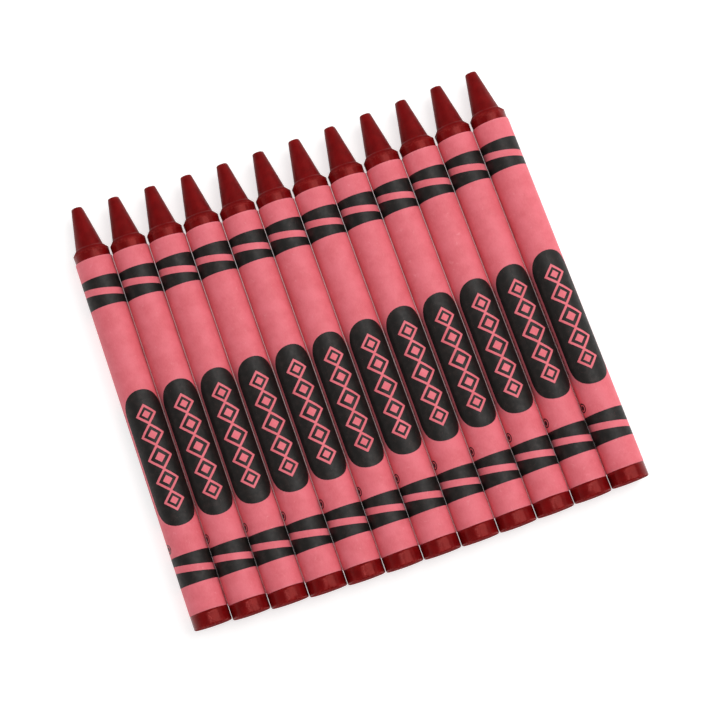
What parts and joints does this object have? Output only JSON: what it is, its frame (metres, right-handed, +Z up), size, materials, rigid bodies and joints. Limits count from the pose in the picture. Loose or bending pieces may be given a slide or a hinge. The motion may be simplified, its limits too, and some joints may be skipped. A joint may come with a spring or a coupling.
{
  "type": "wax crayon set",
  "caption": "Row of loose red wax crayons, each a moulded wax stick with a cone tip inside a wound pink paper label printed with two black bands, each split by a slanted bare ring, and two black capsules.",
  "frame": {"origin": "on the surface the crayons lie on, under the middle of the row's bounding box", "axes": "+X across the row from crayon_01 to crayon_12, +Y along the crayons towards their tips, +Z up"},
  "size_m": [0.0984, 0.0942, 0.0082],
  "materials": {
    "red_wax": "satin",
    "label_paper": "matte"
  },
  "bodies": {
    "crayon_01": {"wax_01": "red_wax", "label_01": "label_paper"},
    "crayon_02": {"wax_02": "red_wax", "label_02": "label_paper"},
    "crayon_03": {"wax_03": "red_wax", "label_03": "label_paper"},
    "crayon_04": {"wax_04": "red_wax", "label_04": "label_paper"},
    "crayon_05": {"wax_05": "red_wax", "label_05": "label_paper"},
    "crayon_06": {"wax_06": "red_wax", "label_06": "label_paper"},
    "crayon_07": {"wax_07": "red_wax", "label_07": "label_paper"},
    "crayon_08": {"wax_08": "red_wax", "label_08": "label_paper"},
    "crayon_09": {"wax_09": "red_wax", "label_09": "label_paper"},
    "crayon_10": {"wax_10": "red_wax", "label_10": "label_paper"},
    "crayon_11": {"wax_11": "red_wax", "label_11": "label_paper"},
    "crayon_12": {"wax_12": "red_wax", "label_12": "label_paper"}
  },
  "joints": [
    {"name": "lift_02", "type": "slide", "parent": "crayon_01", "child": "crayon_02", "axis": [0, 0, 1], "range_m": [0, 0.03]},
    {"name": "lift_03", "type": "slide", "parent": "crayon_01", "child": "crayon_03", "axis": [0, 0, 1], "range_m": [0, 0.03]},
    {"name": "lift_04", "type": "slide", "parent": "crayon_01", "child": "crayon_04", "axis": [0, 0, 1], "range_m": [0, 0.03]},
    {"name": "lift_05", "type": "slide", "parent": "crayon_01", "child": "crayon_05", "axis": [0, 0, 1], "range_m": [0, 0.03]},
    {"name": "lift_06", "type": "slide", "parent": "crayon_01", "child": "crayon_06", "axis": [0, 0, 1], "range_m": [0, 0.03]},
    {"name": "lift_07", "type": "slide", "parent": "crayon_01", "child": "crayon_07", "axis": [0, 0, 1], "range_m": [0, 0.03]},
    {"name": "lift_08", "type": "slide", "parent": "crayon_01", "child": "crayon_08", "axis": [0, 0, 1], "range_m": [0, 0.03]},
    {"name": "lift_09", "type": "slide", "parent": "crayon_01", "child": "crayon_09", "axis": [0, 0, 1], "range_m": [0, 0.03]},
    {"name": "lift_10", "type": "slide", "parent": "crayon_01", "child": "crayon_10", "axis": [0, 0, 1], "range_m": [0, 0.03]},
    {"name": "lift_11", "type": "slide", "parent": "crayon_01", "child": "crayon_11", "axis": [0, 0, 1], "range_m": [0, 0.03]},
    {"name": "lift_12", "type": "slide", "parent": "crayon_01", "child": "crayon_12", "axis": [0, 0, 1], "range_m": [0, 0.03]}
  ]
}
